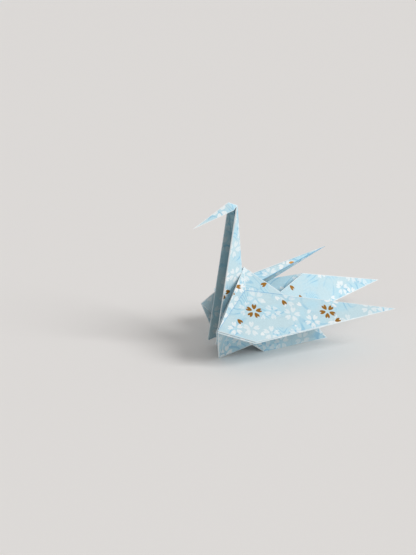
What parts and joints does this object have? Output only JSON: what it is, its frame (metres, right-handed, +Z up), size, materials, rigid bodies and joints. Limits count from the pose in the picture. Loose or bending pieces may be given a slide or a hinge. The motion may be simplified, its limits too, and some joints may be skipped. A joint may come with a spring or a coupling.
{
  "type": "origami crane",
  "caption": "Folded paper crane from one square patterned sheet: humped body, raised neck and head, narrow tail and swept-back ridged wings; stands as a table decoration.",
  "frame": {"origin": "on the table, at the centre of the crane's footprint", "axes": "+X towards the tail, -X towards the head, +Z up, -Y the side of the wing nearer the viewer in the picture"},
  "size_m": [0.0822, 0.05, 0.0534],
  "materials": {
    "printed_paper": "matt pale blue paper with a white and gold blossom print"
  },
  "bodies": {
    "root": {"paper_crane": "printed_paper"}
  },
  "joints": []
}
